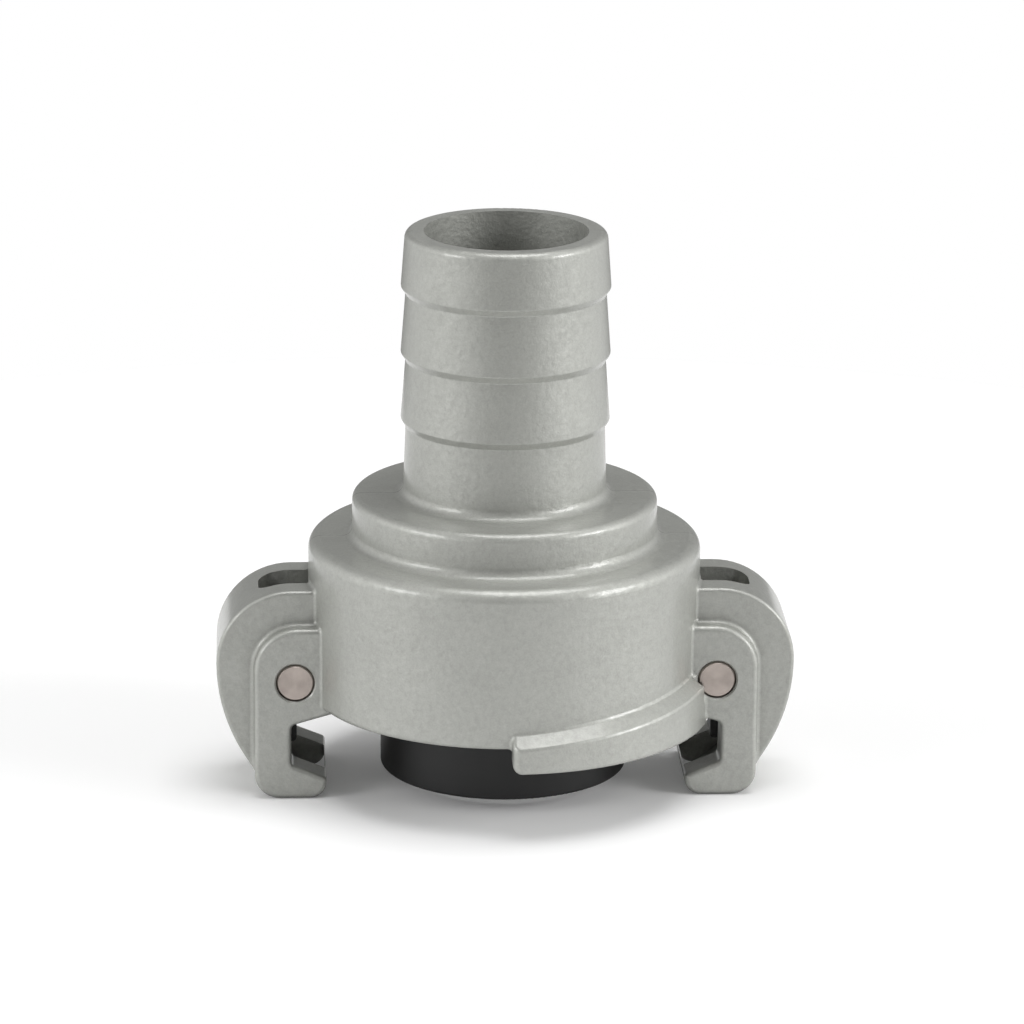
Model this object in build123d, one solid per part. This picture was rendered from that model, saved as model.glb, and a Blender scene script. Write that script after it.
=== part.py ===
from build123d import *
import math
import os

# Quarter turn hose coupling. A light-alloy casting carries a barbed hose tail, a stepped
# collar, two hollow claws and two rising ramps. A rubber seal stands in the collar's mouth,
# and each claw holds a sprung latch pawl on a steel pin.
# Millimetres. +Z runs up the hose tail, the claws lie along X, and Z = 0 is the plane of
# the claws' feet, on which the coupling stands.

# Waterway and hose tail
bore_radius = 15.1
barb_radius = 19.25
barb_depth = 0.85
barb_count = 3
barb_pitch = 12.45
barb_step = 1.3
barb_edge_rounding = 0.5
tail_length = 49.6
tail_rim_radius = 18.5
tail_rim_rounding = 1.3
first_barb_height = 14.5
tail_foot_radius = 18.8

# Collar and shoulder
collar_radius = 36.3
collar_height = 29.8
collar_lift = 17.3
collar_top_rounding = 2.2
collar_edge_rounding = 1.0
seam_fillet = 0.8
shoulder_radius = 28.2
shoulder_height = 8.2
shoulder_rounding = 1.4
foot_fillet = 1.8
relief_depth = 12.0
relief_wall = 4.0
relief_rounding = 1.5

# Seal ring and its seat
seal_radius = 22.9
seal_bore_radius = 15.6
seal_face_height = 3.0
seat_depth = 13.7
bead_height = 4.0
bead_width = 1.6
seal_clearance = 0.05
seal_edge_rounding = 0.6
seal_lip_depth = 1.2

# Claws
claw_reach = 53.4
claw_top = 39.2
claw_width = 19.2
claw_shoulder_radius = 13.9
claw_back_radius = 34.0
claw_wall = 3.6
claw_root = 31.0
claw_edge_rounding = 0.7
slot_width = 8.4
slot_reach = 45.6
slot_end_rounding = 2.6

# Hook plates of each claw
hook_width = 25.2
hook_outer = 46.45
hook_top = 32.75
hook_arch_radius = 8.05
hook_tip = 33.2
hook_foot_rounding = 4.6
hook_tip_foot_rounding = 3.0
hook_face_rounding = 0.9
hook_plate = 6.1
mouth_outer = 39.7
mouth_top = 14.1
mouth_slope = 2.5
lip_height = 6.5
lip_slope = 2.6
mouth_rounding = 1.2
tip_rounding = 0.8

# Ramps
ramp_radius = 38.9
ramp_width = 5.0
ramp_bottom = 13.4
ramp_low_edge = 18.0
ramp_start = -90.0
ramp_sweep = 71.5
ramp_rise = 3.6
ramp_bearing_angle = 40.0
ramp_end_rounding = 1.6
ramp_edge_rounding = 0.7

# Pivot pins
pin_offset = 38.9
pin_height = 22.5
pin_radius = 3.55
pin_press_gap = 0.02
pin_recess = 0.1
pin_chamfer = 0.4
hole_chamfer = 0.3

# Latch pawls
pawl_running_gap = 0.05
pawl_hub_radius = 5.0
pawl_width = 6.0
pocket_side_gap = 0.3
pocket_inner = 33.4
pocket_recess_top = 29.0
pawl_toe_bite = 0.3
pawl_toe_width = 2.4
pawl_toe_height = 8.0
pawl_arm_reach = 44.2
pawl_arm_width = 3.6
pawl_arm_top = 33.6

# Torsion springs
wire_diameter = 0.8
spring_gap = 0.3
spring_turns = 2
coil_spacing = 0.15
spring_side_gap = 0.3
spring_enter_angle = 190.0
spring_leave_angle = 225.0
spring_wall_leg = 5.0
spring_toe_leg = 9.2
spring_hook = 3.2

collar_top = collar_lift + collar_height
shoulder_top = collar_top + shoulder_height
tail_top = shoulder_top + tail_length
pocket_width = hook_width - 2 * hook_plate
barb_root_radius = barb_radius - barb_depth
seat_radius = seal_radius + seal_clearance
seat_top = collar_lift + seat_depth
hole_radius = pin_radius + pin_press_gap
pawl_toe_face = ramp_radius - pawl_toe_bite


def outline(corners):
    """Closed face in the XZ plane through (x, z, corner radius) points."""
    points = [(x, z) for x, z, radius in corners]
    radii = [radius for x, z, radius in corners]
    return Plane.XZ * make_face(FilletPolyline(*points, radius=radii, close=True))


def plate(face, width):
    """Slab of the given width, centred on the XZ plane."""
    return extrude(face, amount=width / 2, both=True)


def turned_body():
    """Hose tail, shoulder and collar, turned round the waterway's axis."""
    corners = [
        (0, collar_lift, 0),
        (collar_radius, collar_lift, collar_edge_rounding),
        (collar_radius, collar_top, collar_top_rounding),
        (shoulder_radius, collar_top, foot_fillet),
        (shoulder_radius, shoulder_top, shoulder_rounding),
        (tail_foot_radius, shoulder_top, foot_fillet),
    ]
    for index in range(barb_count):
        edge = shoulder_top + first_barb_height + index * barb_pitch
        corners.append((barb_root_radius, edge - barb_step, barb_edge_rounding))
        corners.append((barb_radius, edge, barb_edge_rounding))
    corners.append((tail_rim_radius, tail_top, tail_rim_rounding))
    corners.append((0, tail_top, 0))
    return revolve(outline(corners), Axis.Z)


def waterway():
    """What is cut from the casting round its axis: bore, seal seat and relief groove."""
    groove_low = seat_top - 2 * bead_height
    groove_high = groove_low + bead_height
    groove_radius = seat_radius + bead_width
    bore = outline([
        (0, 0, 0),
        (seat_radius, 0, 0),
        (seat_radius, groove_low, 0),
        (groove_radius, groove_low, 0),
        (groove_radius, groove_high, 0),
        (seat_radius, groove_high, 0),
        (seat_radius, seat_top, 0),
        (bore_radius, seat_top, 0),
        (bore_radius, tail_top + 1, 0),
        (0, tail_top + 1, 0),
    ])
    relief_inner = seat_radius + relief_wall
    relief_outer = pocket_inner - relief_wall + 1
    relief_top = collar_lift + relief_depth
    relief = outline([
        (relief_inner, 0, 0),
        (relief_outer, 0, 0),
        (relief_outer, relief_top, relief_rounding),
        (relief_inner, relief_top, relief_rounding),
    ])
    return revolve(bore, Axis.Z) + revolve(relief, Axis.Z)


def claw_arcs(inset, end_height):
    """Top and back curves of a claw's crescent, inset from its outside, down to a height."""
    centre_x = claw_reach - claw_shoulder_radius
    centre_z = claw_top - claw_shoulder_radius
    top_radius = claw_shoulder_radius - inset
    back_radius = claw_back_radius - inset
    back_x = claw_reach - claw_back_radius
    drop = centre_z - end_height
    top = (centre_x, centre_z + top_radius)
    shoulder = (centre_x + top_radius / math.sqrt(2), centre_z + top_radius / math.sqrt(2))
    side = (centre_x + top_radius, centre_z)
    half = math.asin(drop / back_radius) / 2
    middle = (back_x + back_radius * math.cos(half), centre_z - back_radius * math.sin(half))
    low = (back_x + back_radius * math.cos(2 * half), centre_z - drop)
    return top, shoulder, side, middle, low


def crescent():
    """Outer shell of a claw before its pocket is cut. Its inner corner lies in the hooks."""
    top, shoulder, side, middle, low = claw_arcs(0, hook_foot_rounding)
    inside = (low[0] - claw_wall, low[1])
    corner = (inside[0], pin_height)
    root = (claw_root, pin_height)
    edges = [
        Line((claw_root, top[1]), top),
        ThreePointArc(top, shoulder, side),
        ThreePointArc(side, middle, low),
        Line(low, inside),
        Line(inside, corner),
        Line(corner, root),
        Line(root, (claw_root, top[1])),
    ]
    return plate(Plane.XZ * make_face(edges), claw_width)


def hook_plates():
    """Raised hook plates, front and back, as one slab as wide as both with their gap."""
    return plate(outline([
        (claw_root, hook_top, 0),
        (hook_outer, hook_top, hook_arch_radius),
        (hook_outer, 0, hook_foot_rounding),
        (hook_tip, 0, hook_tip_foot_rounding),
        (hook_tip, lip_height - lip_slope, tip_rounding),
        (mouth_outer, lip_height, mouth_rounding),
        (mouth_outer, mouth_top, mouth_rounding),
        (claw_root, mouth_top + mouth_slope, 0),
    ]), hook_width)


def lies_across(edge, distance):
    """True for an edge off the claw's root that lies in a plane at this distance from XZ."""
    box = edge.bounding_box()
    if box.max.X < claw_root + 0.1:
        return False
    return abs(abs(box.min.Y) - distance) < 0.001 and abs(box.max.Y - box.min.Y) < 0.001


def runs_round(edge, radius):
    """True for an edge that lies on the cylinder of this radius round the waterway's axis."""
    points = [edge @ (step / 4) for step in range(5)]
    return all(abs(math.hypot(point.X, point.Y) - radius) < 0.01 for point in points)


def claw():
    """One claw on the +X side, solid, with rounded edges and a fillet round its hooks."""
    solid = crescent() + hook_plates()
    solid = solid.fillet(hook_face_rounding, [e for e in solid.edges() if lies_across(e, hook_width / 2)])
    seams = [e for e in solid.edges() if lies_across(e, claw_width / 2)]
    centre_x = claw_reach - claw_shoulder_radius
    rim = [e for e in seams if e.center().Z > hook_top + 1 or e.center().X > hook_outer + 1]
    foot = [e for e in seams if e not in rim]
    solid = solid.fillet(hook_face_rounding, foot)
    return solid.fillet(claw_edge_rounding, rim)


def pocket():
    """Room for the latch inside a claw, with the slot over it and the pin's holes."""
    top, shoulder, side, middle, low = claw_arcs(claw_wall, -1)
    wall = collar_radius
    edges = [
        Line((pocket_inner, low[1]), (pocket_inner, pocket_recess_top)),
        Line((pocket_inner, pocket_recess_top), (wall, pocket_recess_top + wall - pocket_inner)),
        Line((wall, pocket_recess_top + wall - pocket_inner), (wall, top[1])),
        Line((wall, top[1]), top),
        ThreePointArc(top, shoulder, side),
        ThreePointArc(side, middle, low),
        Line(low, (pocket_inner, low[1])),
    ]
    chamber = plate(Plane.XZ * make_face(edges), pocket_width)
    corner = (slot_reach, slot_width / 2, slot_end_rounding)
    points = [(wall, -corner[1]), (slot_reach, -corner[1]), (slot_reach, corner[1]), (wall, corner[1])]
    ends = FilletPolyline(*points, radius=[0, slot_end_rounding, slot_end_rounding, 0], close=True)
    slot = Pos(0, 0, top[1] - claw_wall) * extrude(make_face(ends), amount=3 * claw_wall)
    return chamber + slot


def pin_hole():
    """Hole through both hook plates, chamfered where it opens."""
    half = hook_width / 2
    profile = make_face(Polyline(
        (0, -half - 1),
        (hole_radius + hole_chamfer + 1, -half - 1),
        (hole_radius, -half + hole_chamfer),
        (hole_radius, half - hole_chamfer),
        (hole_radius + hole_chamfer + 1, half + 1),
        (0, half + 1),
        close=True,
    ))
    return Pos(pin_offset, 0, pin_height) * revolve(profile, Axis.Y)


def ramp():
    """Rising ramp from the front of the collar round to the +X claw."""
    inner = ramp_radius - ramp_width
    blank_top = ramp_low_edge + ramp_rise + ramp_width
    section = outline([
        (inner, ramp_bottom, 0),
        (ramp_radius, ramp_bottom, ramp_edge_rounding),
        (ramp_radius, blank_top, 0),
        (inner, blank_top, 0),
    ])
    bar = revolve(section, Axis.Z, revolution_arc=ramp_sweep)
    slope = math.tan(math.radians(ramp_bearing_angle))
    over = 2.0
    cutter_low = ramp_low_edge - over * slope
    cutter_high = ramp_low_edge + (ramp_width + over) * slope
    cutter = outline([
        (ramp_radius + over, cutter_low, 0),
        (ramp_radius + over, cutter_high + 2 * ramp_rise, 0),
        (inner - over, cutter_high + 2 * ramp_rise, 0),
        (inner - over, cutter_high, 0),
    ])
    turn = 1.2
    lead = Helix(pitch=ramp_rise * 360 / ramp_sweep, height=ramp_rise * turn, radius=ramp_radius)
    back = ramp_sweep * (turn - 1) / 2
    shift = Pos(0, 0, -ramp_rise * (turn - 1) / 2) * Rot(0, 0, -back)
    bar -= shift * sweep(cutter, path=lead, is_frenet=True)
    outside = [e for e in bar.edges() if runs_round(e, ramp_radius)]
    nose = [e for e in outside if abs((e @ 0.5).Y) < 0.01]
    bar = bar.fillet(ramp_end_rounding, nose)
    outside = [e for e in bar.edges() if runs_round(e, ramp_radius)]
    crest = max(outside, key=lambda edge: edge.center().Z)
    bar = bar.fillet(ramp_edge_rounding, [crest])
    return Rot(0, 0, ramp_start) * bar


def seal_ring():
    """Rubber ring with a retaining bead round it, seated in the collar's mouth."""
    groove_low = seat_top - 2 * bead_height
    bead_radius = seal_radius + bead_width
    low = groove_low + seal_clearance
    high = groove_low + bead_height - seal_clearance
    return revolve(outline([
        (seal_bore_radius + seal_lip_depth, seal_face_height, 0),
        (seal_radius, seal_face_height, seal_edge_rounding),
        (seal_radius, low, 0),
        (bead_radius, low, 0),
        (bead_radius, high, 0),
        (seal_radius, high, 0),
        (seal_radius, seat_top, 0),
        (seal_bore_radius, seat_top, 0),
        (seal_bore_radius, seal_face_height + seal_lip_depth, 0),
    ]), Axis.Z)


def seams_on_collar(body):
    """Edges where a claw or a ramp meets the collar's wall."""
    half_turn = math.pi * collar_radius
    low = collar_lift + collar_edge_rounding + 0.1
    edges = [e for e in body.edges() if runs_round(e, collar_radius) and e.length < half_turn]
    return [e for e in edges if e.bounding_box().max.Z > low and e.bounding_box().max.Z < claw_top + 0.1]


def casting():
    """The one-piece body."""
    body = Rot(0, 0, 45) * turned_body()
    for turn in (0, 180):
        body += Rot(0, 0, turn) * claw()
    body = body.fillet(seam_fillet, seams_on_collar(body))
    for turn in (0, 180):
        body += Rot(0, 0, turn) * ramp()
    ramp_length = ramp_radius * math.radians(ramp_sweep)
    ramp_seams = [e for e in seams_on_collar(body) if e.length > ramp_length / 2]
    body = body.fillet(seam_fillet, ramp_seams)
    body -= waterway()
    for turn in (0, 180):
        body -= Rot(0, 0, turn) * pocket()
        body -= Rot(0, 0, turn) * pin_hole()
    return body


def pivot_pin():
    """Steel pin in the +X claw, just below flush at both ends."""
    half = hook_width / 2 - pin_recess
    profile = make_face(Polyline(
        (0, -half),
        (pin_radius - pin_chamfer, -half),
        (pin_radius, -half + pin_chamfer),
        (pin_radius, half - pin_chamfer),
        (pin_radius - pin_chamfer, half),
        (0, half),
        close=True,
    ))
    return Pos(pin_offset, 0, pin_height) * revolve(profile, Axis.Y)


def latch_pawl():
    """Two-armed pawl. Its toe bears on the rim of the mating half's ramp, and its release
    arm lies under the slot."""
    hub = (pin_offset, pin_height)
    toe = outline([
        (hub[0] - pawl_hub_radius / 2, hub[1] - pawl_hub_radius / 2, 0),
        (pawl_toe_face, hub[1] - 1.6 * pawl_hub_radius, 2.0),
        (pawl_toe_face, pawl_toe_height, 0.8),
        (pawl_toe_face + pawl_toe_width, pawl_toe_height, 0.8),
        (hub[0] + pawl_hub_radius - 1.2, hub[1] - 1.0, 0),
    ])
    arm = outline([
        (hub[0] - 2.6, hub[1], 0),
        (pawl_arm_reach - pawl_arm_width, pawl_arm_top, 1.2),
        (pawl_arm_reach, pawl_arm_top, 1.4),
        (pawl_arm_reach, pawl_arm_top - 3.6, 1.6),
        (hub[0] + pawl_hub_radius - 0.6, hub[1], 0),
    ])
    boss_length = (pocket_width - pawl_width) / 2 - pocket_side_gap
    place = Pos(hub[0], 0, hub[1]) * Rot(90, 0, 0)
    body = plate(toe, pawl_width) + plate(arm, pawl_width)
    body += place * Cylinder(pawl_hub_radius, pawl_width)
    body += place * Pos(0, 0, (pawl_width + boss_length) / 2) * Cylinder(pawl_hub_radius, boss_length)
    return body - place * Cylinder(pin_radius + pawl_running_gap, 2 * pocket_width)


def torsion_spring():
    """Close-wound spring round the pin, one leg on the collar and one hooked over the toe."""
    radius = pin_radius + spring_gap + wire_diameter / 2
    pitch = wire_diameter + coil_spacing
    turns = spring_turns + (spring_leave_angle - spring_enter_angle) / 360
    coil = Rot(0, 0, spring_enter_angle) * Helix(pitch=pitch, height=pitch * turns, radius=radius)
    wall_leg = Line(coil @ 0 - (coil % 0) * spring_wall_leg, coil @ 0)
    corner = coil @ 1 + (coil % 1) * spring_toe_leg
    tip = corner + Vector(0, 0, spring_hook)
    toe_leg = FilletPolyline(coil @ 1, corner, tip, radius=[wire_diameter])
    path = Wire([wall_leg, coil, *toe_leg.edges()])
    section = Plane(origin=path @ 0, z_dir=path % 0) * Circle(wire_diameter / 2)
    wire = sweep(section, path=path)
    side = pocket_width / 2 - spring_side_gap - wire_diameter / 2
    return Pos(pin_offset, side, pin_height) * Rot(90, 0, 0) * wire


os.makedirs("parts", exist_ok=True)
export_step(casting(), "parts/coupling_body.step")
export_step(seal_ring(), "parts/seal_ring.step")
for side, turn in (("right", 0), ("left", 180)):
    place = Rot(0, 0, turn)
    export_step(place * pivot_pin(), f"parts/{side}_pivot_pin.step")
    export_step(place * latch_pawl(), f"parts/{side}_latch_pawl.step")
    export_step(place * torsion_spring(), f"parts/{side}_torsion_spring.step")
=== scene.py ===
import math

import bmesh
import bpy
from mathutils import Euler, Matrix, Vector


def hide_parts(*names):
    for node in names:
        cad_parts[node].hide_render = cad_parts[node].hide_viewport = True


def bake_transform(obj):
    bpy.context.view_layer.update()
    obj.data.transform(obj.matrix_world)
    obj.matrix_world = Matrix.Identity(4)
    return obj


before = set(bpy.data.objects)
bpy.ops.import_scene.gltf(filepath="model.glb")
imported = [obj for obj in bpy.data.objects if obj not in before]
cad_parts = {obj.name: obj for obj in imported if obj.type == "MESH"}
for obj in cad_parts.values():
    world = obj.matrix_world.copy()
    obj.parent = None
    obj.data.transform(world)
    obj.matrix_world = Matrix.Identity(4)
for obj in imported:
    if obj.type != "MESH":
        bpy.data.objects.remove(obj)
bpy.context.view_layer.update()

scene = bpy.context.scene


# The casting: tail, collar and claws in one piece of aluminium alloy, shaken out
# of the mould, fettled and bead-blasted all over. The blasting leaves a pale, warm,
# even grey with a fine peened grain that only shows where light grazes it.
MM = 0.001


def linear(colour):
    """An sRGB hex colour as the linear values that a shader takes."""
    parts = [int(colour[i:i + 2], 16) / 255 for i in (1, 3, 5)]
    lit = [c / 12.92 if c <= 0.04045 else ((c + 0.055) / 1.055) ** 2.4 for c in parts]
    return lit + [1.0]


def add(tree, kind, settings=None, **inputs):
    """Adds one node, with its settings and the values or links of its inputs.

    An input goes by its name, or by its number after an i where names repeat.
    """
    new = tree.nodes.new(kind)
    for name, value in (settings or {}).items():
        setattr(new, name, value)
    for name, value in inputs.items():
        numbered = name[0] == "i" and name[1:].isdigit()
        socket = new.inputs[int(name[1:]) if numbered else name.replace("_", " ")]
        if isinstance(value, bpy.types.NodeSocket):
            tree.links.new(value, socket)
        else:
            socket.default_value = value
    return new


def begin(name):
    """A new material, its node tree and its shader."""
    made = bpy.data.materials.new(name)
    made.use_nodes = True
    return made, made.node_tree, made.node_tree.nodes["Principled BSDF"]


def finish_with(node, made):
    """Gives a CAD node its finish."""
    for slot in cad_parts[node].material_slots:
        slot.material = made


# Blasted aluminium is a rough metal: no mirror and a broad soft sheen, over the
# gentle waviness of the mould. The beads' marks, really about 0.1 mm across, are
# drawn coarser so that they show. The clear coat stands for the grain's burnished
# tops, which glint weakly on the rounded edges. The mould parts on the plane of the
# claws and leaves a thin raised line, which is also painted a little darker, but not
# in the bore or from the claws down.
BEAD_MARK = 0.32 * MM
BEAD_DEPTH = 0.03 * MM
PEEL = 1.1 * MM
PEEL_DEPTH = 0.12 * MM
MOULD_WAVE = 7.0 * MM
MOULD_WAVE_DEPTH = 0.25 * MM
PAINTED_SHADE_REACH = 2.5 * MM
FLASH_WIDTH = 0.3 * MM
FLASH_HEIGHT = 0.12 * MM
FLASH_FOOT = 44.0 * MM
BORE_REACH = 17.0 * MM
blasted, tree, metal = begin("bead_blasted_cast_aluminium")
place = add(tree, "ShaderNodeTexCoord").outputs["Object"]
marks = add(tree, "ShaderNodeTexNoise", Vector=place,
            Scale=1 / BEAD_MARK, Detail=2.0, Roughness=0.6)
peel = add(tree, "ShaderNodeTexNoise", Vector=place, Scale=1 / PEEL, Detail=2.0, Roughness=0.5)
wave = add(tree, "ShaderNodeTexNoise", Vector=place,
           Scale=1 / MOULD_WAVE, Detail=3.0, Roughness=0.5)
tone = add(tree, "ShaderNodeMix", {"data_type": "RGBA"}, Factor=wave.outputs["Fac"],
           i6=linear("#AFB0AB"), i7=linear("#B8B9B4"))
# Painted shade: ambient occlusion darkens the colour in corners, creases and recesses, where
# shade falls.
corner = add(tree, "ShaderNodeAmbientOcclusion", {"samples": 6}, Distance=PAINTED_SHADE_REACH)
painted_corner_shade = add(tree, "ShaderNodeMapRange", Value=corner.outputs["AO"],
            From_Min=0.25, From_Max=0.8, To_Min=0.55, To_Max=1.0)
shade = add(tree, "ShaderNodeMix", {"data_type": "RGBA", "blend_type": "MULTIPLY"}, Factor=1.0,
            i6=tone.outputs[2], i7=painted_corner_shade.outputs["Result"])
speck = add(tree, "ShaderNodeMapRange", Value=marks.outputs["Fac"],
            From_Min=0.3, From_Max=0.7, To_Min=0.94, To_Max=1.05)
grained = add(tree, "ShaderNodeMix", {"data_type": "RGBA", "blend_type": "MULTIPLY"}, Factor=1.0,
              i6=shade.outputs[2], i7=speck.outputs["Result"])
spot = add(tree, "ShaderNodeSeparateXYZ", Vector=place)
beside = add(tree, "ShaderNodeMath", {"operation": "ABSOLUTE"}, i0=spot.outputs["Y"])
ridge = add(tree, "ShaderNodeMapRange", {"interpolation_type": "SMOOTHSTEP"},
            Value=beside.outputs[0],
            From_Min=0.0, From_Max=FLASH_WIDTH, To_Min=1.0, To_Max=0.0)
above = add(tree, "ShaderNodeMath", {"operation": "GREATER_THAN"},
            i0=spot.outputs["Z"], i1=FLASH_FOOT)
outward = add(tree, "ShaderNodeMath", {"operation": "ABSOLUTE"}, i0=spot.outputs["X"])
outside = add(tree, "ShaderNodeMath", {"operation": "GREATER_THAN"},
              i0=outward.outputs[0], i1=BORE_REACH)
undressed = add(tree, "ShaderNodeMath", {"operation": "MULTIPLY"},
                i0=above.outputs[0], i1=outside.outputs[0])
flash = add(tree, "ShaderNodeMath", {"operation": "MULTIPLY"},
            i0=ridge.outputs["Result"], i1=undressed.outputs[0])
faint = add(tree, "ShaderNodeMath", {"operation": "MULTIPLY"}, i0=flash.outputs[0], i1=0.4)
lined = add(tree, "ShaderNodeMix", {"data_type": "RGBA"}, Factor=faint.outputs[0],
            i6=grained.outputs[2], i7=linear("#4A4A48"))
gloss = add(tree, "ShaderNodeMapRange", Value=peel.outputs["Fac"],
            From_Min=0.3, From_Max=0.7, To_Min=0.58, To_Max=0.7)
parted = add(tree, "ShaderNodeBump", Strength=0.7, Distance=FLASH_HEIGHT,
             Height=flash.outputs[0])
rolling = add(tree, "ShaderNodeBump", Strength=0.25, Distance=MOULD_WAVE_DEPTH,
              Height=wave.outputs["Fac"], Normal=parted.outputs["Normal"])
dimpled = add(tree, "ShaderNodeBump", Strength=0.9, Distance=PEEL_DEPTH,
              Height=peel.outputs["Fac"], Normal=rolling.outputs["Normal"])
beaded = add(tree, "ShaderNodeBump", Strength=0.7, Distance=BEAD_DEPTH,
             Height=marks.outputs["Fac"], Normal=dimpled.outputs["Normal"])
metal.inputs["Metallic"].default_value = 1.0
metal.inputs["Coat Weight"].default_value = 0.8
metal.inputs["Coat Roughness"].default_value = 0.18
tree.links.new(lined.outputs[2], metal.inputs["Base Color"])
tree.links.new(gloss.outputs["Result"], metal.inputs["Roughness"])
tree.links.new(beaded.outputs["Normal"], metal.inputs["Normal"])
finish_with("coupling_body", blasted)


# The seal: a moulded ring of black nitrile rubber, held in the seat under the collar
# by its bead. It stands proud, so that the mating half's seal meets it first. Its
# skin is dull and very dark, with a faint bloom and the pores of the moulding.
BLOOM = 6 * MM
PORE = 0.5 * MM
PORE_DEPTH = 0.04 * MM
rubber, tree, skin = begin("moulded_nitrile_rubber")
place = add(tree, "ShaderNodeTexCoord").outputs["Object"]
bloom = add(tree, "ShaderNodeTexNoise", Vector=place, Scale=1 / BLOOM, Detail=4.0, Roughness=0.6)
tone = add(tree, "ShaderNodeMix", {"data_type": "RGBA"}, Factor=bloom.outputs["Fac"],
           i6=linear("#070707"), i7=linear("#0E0E0F"))
pores = add(tree, "ShaderNodeTexNoise", Vector=place, Scale=1 / PORE, Detail=2.0, Roughness=0.5)
soft = add(tree, "ShaderNodeBump", Strength=0.2, Distance=PORE_DEPTH, Height=pores.outputs["Fac"])
tree.links.new(tone.outputs[2], skin.inputs["Base Color"])
tree.links.new(soft.outputs["Normal"], skin.inputs["Normal"])
skin.inputs["Roughness"].default_value = 0.5
finish_with("seal_ring", rubber)


# The pivot pins: stainless steel turned to size, faced and chamfered, and pressed
# through the claws' plates. The facing cut left rings round the middle, which draw
# the glint out into a fan. They are drawn coarser than the real cut, so that they show.
PIN_OFFSET = 38.9 * MM
PIN_HEIGHT = 22.5 * MM
FACING_CUT = 0.28 * MM
FACING_DEPTH = 0.01 * MM
SMEAR = 1.5 * MM
turned, tree, steel = begin("turned_stainless_steel")
place = add(tree, "ShaderNodeTexCoord").outputs["Object"]
split = add(tree, "ShaderNodeSeparateXYZ", Vector=place)
either = add(tree, "ShaderNodeMath", {"operation": "ABSOLUTE"}, i0=split.outputs["X"])
across = add(tree, "ShaderNodeMath", {"operation": "SUBTRACT"},
             i0=PIN_OFFSET, i1=either.outputs[0])
up = add(tree, "ShaderNodeMath", {"operation": "SUBTRACT"}, i0=split.outputs["Z"], i1=PIN_HEIGHT)
flat = add(tree, "ShaderNodeCombineXYZ", X=across.outputs[0], Y=up.outputs[0], Z=0.0)
radius = add(tree, "ShaderNodeVectorMath", {"operation": "LENGTH"}, i0=flat.outputs[0])
turns = add(tree, "ShaderNodeMath", {"operation": "MULTIPLY"}, i0=radius.outputs["Value"],
            i1=2 * math.pi / FACING_CUT)
rings = add(tree, "ShaderNodeMath", {"operation": "SINE"}, i0=turns.outputs[0])
hand = add(tree, "ShaderNodeMath", {"operation": "SIGN"}, i0=split.outputs["X"])
turned_up = add(tree, "ShaderNodeMath", {"operation": "MULTIPLY"},
                i0=up.outputs[0], i1=hand.outputs[0])
lay = add(tree, "ShaderNodeCombineXYZ", X=turned_up.outputs[0], Y=0.0, Z=across.outputs[0])
along = add(tree, "ShaderNodeVectorMath", {"operation": "NORMALIZE"}, i0=lay.outputs[0])
smear = add(tree, "ShaderNodeTexNoise", Vector=place, Scale=1 / SMEAR, Detail=3.0, Roughness=0.6)
tone = add(tree, "ShaderNodeMix", {"data_type": "RGBA"}, Factor=smear.outputs["Fac"],
           i6=linear("#9C928C"), i7=linear("#B8AEA7"))
cut = add(tree, "ShaderNodeBump", Strength=0.25, Distance=FACING_DEPTH, Height=rings.outputs[0])
steel.inputs["Metallic"].default_value = 1.0
steel.inputs["Roughness"].default_value = 0.3
steel.inputs["Anisotropic"].default_value = 0.8
tree.links.new(along.outputs["Vector"], steel.inputs["Tangent"])
tree.links.new(tone.outputs[2], steel.inputs["Base Color"])
tree.links.new(cut.outputs["Normal"], steel.inputs["Normal"])
for side in ("right", "left"):
    finish_with(side + "_pivot_pin", turned)


# The latch pawls: blanked from steel plate and phosphated, so they sit in the claws
# as dull, nearly black shapes. That near-black is partly painted shade for the deep
# pockets in the claws' mouths. The faint mottle of the phosphate's crystals is drawn
# coarser than the real one, so that it shows.
CRYSTAL = 0.4 * MM
CRYSTAL_DEPTH = 0.02 * MM
phosphate_and_pocket_shade, tree, skin = begin("phosphated_steel_and_pocket_shade")
place = add(tree, "ShaderNodeTexCoord").outputs["Object"]
crystals = add(tree, "ShaderNodeTexNoise", Vector=place,
               Scale=1 / CRYSTAL, Detail=3.0, Roughness=0.7)
# Partly painted shade: the pawls' dark tone also stands for the shade deep in the claws' pockets.
tone = add(tree, "ShaderNodeMix", {"data_type": "RGBA"}, Factor=crystals.outputs["Fac"],
           i6=linear("#1C1C1C"), i7=linear("#343433"))
tooth = add(tree, "ShaderNodeBump", Strength=0.2, Distance=CRYSTAL_DEPTH,
            Height=crystals.outputs["Fac"])
skin.inputs["Metallic"].default_value = 0.4
skin.inputs["Roughness"].default_value = 0.55
tree.links.new(tone.outputs[2], skin.inputs["Base Color"])
tree.links.new(tooth.outputs["Normal"], skin.inputs["Normal"])
for side in ("right", "left"):
    finish_with(side + "_latch_pawl", phosphate_and_pocket_shade)


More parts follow.
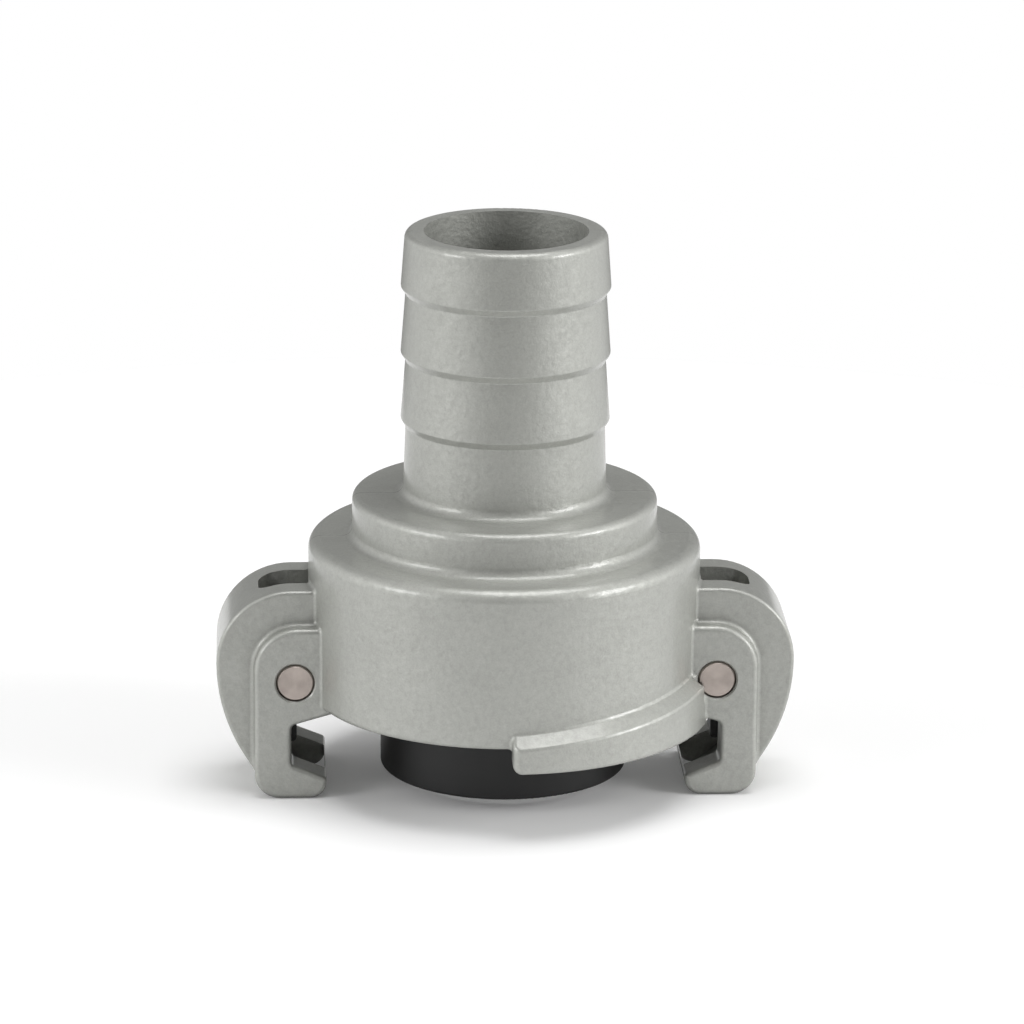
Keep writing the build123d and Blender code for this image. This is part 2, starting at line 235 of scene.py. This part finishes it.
# The torsion springs: hard-drawn wire wound round the pawls' hubs. The drawing die
# leaves the wire smooth, with faint streaks and a darker film from heat treatment.
# One leg of each wire rests on the collar, one on the pawl's toe. Each wire is drawn as a copy of
# the CAD spring, which is hidden.
STREAK = 0.6 * MM
drawn, tree, skin = begin("drawn_spring_wire")
place = add(tree, "ShaderNodeTexCoord").outputs["Object"]
streak = add(tree, "ShaderNodeTexNoise", Vector=place,
             Scale=1 / STREAK, Detail=2.0, Roughness=0.5)
tone = add(tree, "ShaderNodeMix", {"data_type": "RGBA"}, Factor=streak.outputs["Fac"],
           i6=linear("#5A5652"), i7=linear("#7C7873"))
skin.inputs["Metallic"].default_value = 1.0
skin.inputs["Roughness"].default_value = 0.38
tree.links.new(tone.outputs[2], skin.inputs["Base Color"])
for side, pin_x in (("right", PIN_OFFSET), ("left", -PIN_OFFSET)):
    finish_with(side + "_torsion_spring", drawn)
    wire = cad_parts[side + "_torsion_spring"].data.copy()
    wound = bpy.data.objects.new(side + "_wound_wire", wire)
    scene.collection.objects.link(wound)
    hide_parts(side + "_torsion_spring")
    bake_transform(wound)


# The floor: a round sheet of plain white paper board, with the part standing in the
# middle. It shows a little paler to the camera than the light alone makes it.
FLOOR_RADIUS = 300 * MM
FLOOR_SIDES = 128
FLOOR_LIFT = 0.08
mesh = bpy.data.meshes.new("floor")
shape = bmesh.new()
bmesh.ops.create_circle(shape, cap_ends=True, segments=FLOOR_SIDES, radius=FLOOR_RADIUS)
shape.to_mesh(mesh)
shape.free()
floor = bpy.data.objects.new("floor", mesh)
scene.collection.objects.link(floor)
paper, tree, skin = begin("white_paper_board")
skin.inputs["Base Color"].default_value = linear("#F2F2F2")
skin.inputs["Roughness"].default_value = 0.9
skin.inputs["Specular IOR Level"].default_value = 0.1
seen = add(tree, "ShaderNodeLightPath").outputs["Is Camera Ray"]
lift = add(tree, "ShaderNodeMath", {"operation": "MULTIPLY"}, i0=seen, i1=FLOOR_LIFT)
glow = add(tree, "ShaderNodeEmission", Strength=lift.outputs[0])
both = add(tree, "ShaderNodeAddShader", i0=skin.outputs[0], i1=glow.outputs[0])
tree.links.new(both.outputs[0], tree.nodes["Material Output"].inputs["Surface"])
floor.data.materials.append(paper)


# The light: a soft box on each side, one overhead, and a dim room with a pale panel
# at either side, which the upright walls of the metal mirror softly. To the camera
# the room is plain white.
ROOM_LEVEL = 0.2
PANEL_LEVEL = 1.0
BACKDROP_LEVEL = 1.0
LAMPS = {
    "left_soft_box": ((-1.0, -0.45, 0.4), 0.8, 24),
    "right_soft_box": ((1.0, -0.4, 0.4), 1.25, 24),
    "top_soft_box": ((0.1, 0.0, 1.0), 1.7, 40),
}
world = bpy.data.worlds.new("studio")
scene.world = world
world.use_nodes = True
tree = world.node_tree
sky = tree.nodes["Background"]
way = add(tree, "ShaderNodeTexCoord").outputs["Generated"]
sides = add(tree, "ShaderNodeSeparateXYZ", Vector=way)
aside = add(tree, "ShaderNodeMath", {"operation": "ABSOLUTE"}, i0=sides.outputs["X"])
panels = add(tree, "ShaderNodeMapRange", {"interpolation_type": "SMOOTHSTEP"},
             Value=aside.outputs[0],
             From_Min=0.35, From_Max=0.95, To_Min=ROOM_LEVEL, To_Max=PANEL_LEVEL)
seen = add(tree, "ShaderNodeLightPath").outputs["Is Camera Ray"]
level = add(tree, "ShaderNodeMix", {"data_type": "FLOAT"}, Factor=seen,
            i2=panels.outputs["Result"], i3=BACKDROP_LEVEL)
tree.links.new(level.outputs[0], sky.inputs["Strength"])
sky.inputs["Color"].default_value = linear("#FFFFFF")
for name, (stand, strength, width) in LAMPS.items():
    lamp = bpy.data.lights.new(name, "SUN")
    lamp.energy = strength
    lamp.angle = math.radians(width)
    holder = bpy.data.objects.new(name, lamp)
    holder.rotation_euler = Vector(stand).to_track_quat("Z", "Y").to_euler()
    scene.collection.objects.link(holder)


# The camera: a long lens a metre away, a little above, looking down on the coupling.
# Its angles are in degrees: down from level, round to the right, and over sideways.
STAND = Vector((-47.2, -975.9, 344.7)) * MM
PITCH = 16.71
TURN = -2.85
ROLL = 0.42
LENS = 194.0
SENSOR = 36.0
NEAREST = 10 * MM
camera = bpy.data.cameras.new("camera")
camera.lens = LENS
camera.sensor_width = SENSOR
camera.clip_start = NEAREST
camera.dof.use_dof = False
tripod = bpy.data.objects.new("camera", camera)
tripod.location = STAND
aim = Euler((math.radians(90 - PITCH), 0.0, math.radians(TURN)), "XYZ").to_matrix()
tilt = Euler((0.0, 0.0, math.radians(ROLL)), "XYZ").to_matrix()
tripod.rotation_euler = (aim @ tilt).to_euler()
scene.collection.objects.link(tripod)
scene.camera = tripod
scene.view_settings.view_transform = "Standard"
